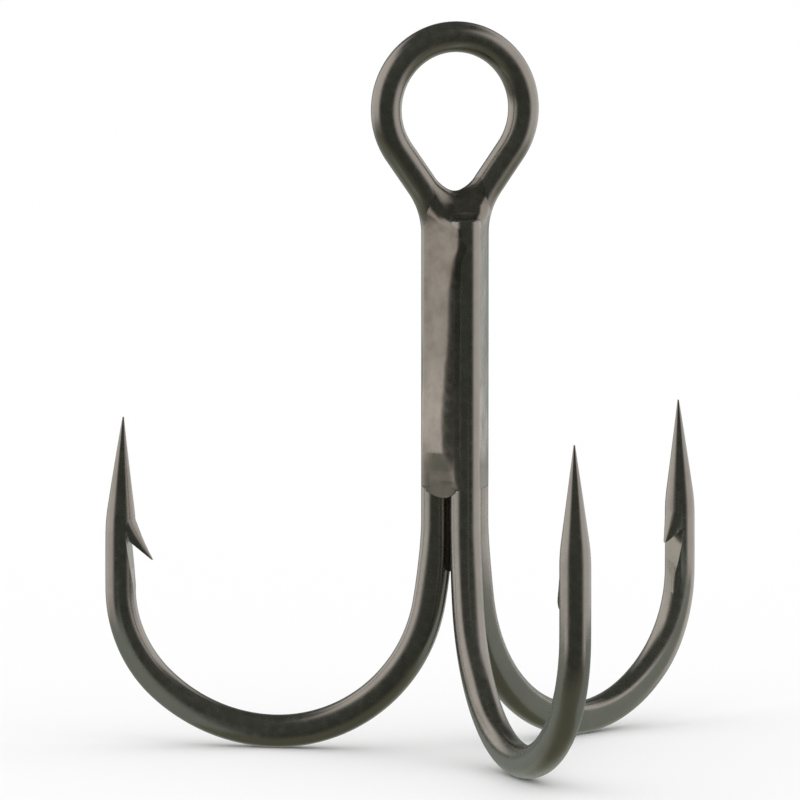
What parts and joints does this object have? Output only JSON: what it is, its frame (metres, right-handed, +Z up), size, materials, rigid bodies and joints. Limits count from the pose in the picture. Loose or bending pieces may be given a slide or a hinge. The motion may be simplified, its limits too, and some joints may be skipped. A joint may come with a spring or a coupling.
{
  "type": "treble fishing hook",
  "caption": "Treble fishing hook of round wire: a double hook bent from one length with a pear-shaped eye, brazed to a single hook, with barbed needle points.",
  "frame": {"origin": "centre of the eye's round part, in the plane of the eye", "axes": "+Z up the shank away from the bends, the eye lies in the XZ plane, and the single hook points to -Y with the double hook's bends at 30 and 150 degrees from +X"},
  "size_m": [0.033, 0.0288, 0.0382],
  "materials": {
    "hook_wire": "gloss black nickel plating on high-carbon steel wire",
    "braze": "satin black nickel plating over slightly rough braze"
  },
  "bodies": {
    "root": {"eyed_double_hook": "hook_wire", "single_hook": "hook_wire", "braze_left_groove": "braze", "braze_right_groove": "braze", "braze_rear_groove": "braze", "braze_neck_web": "braze"}
  },
  "joints": []
}
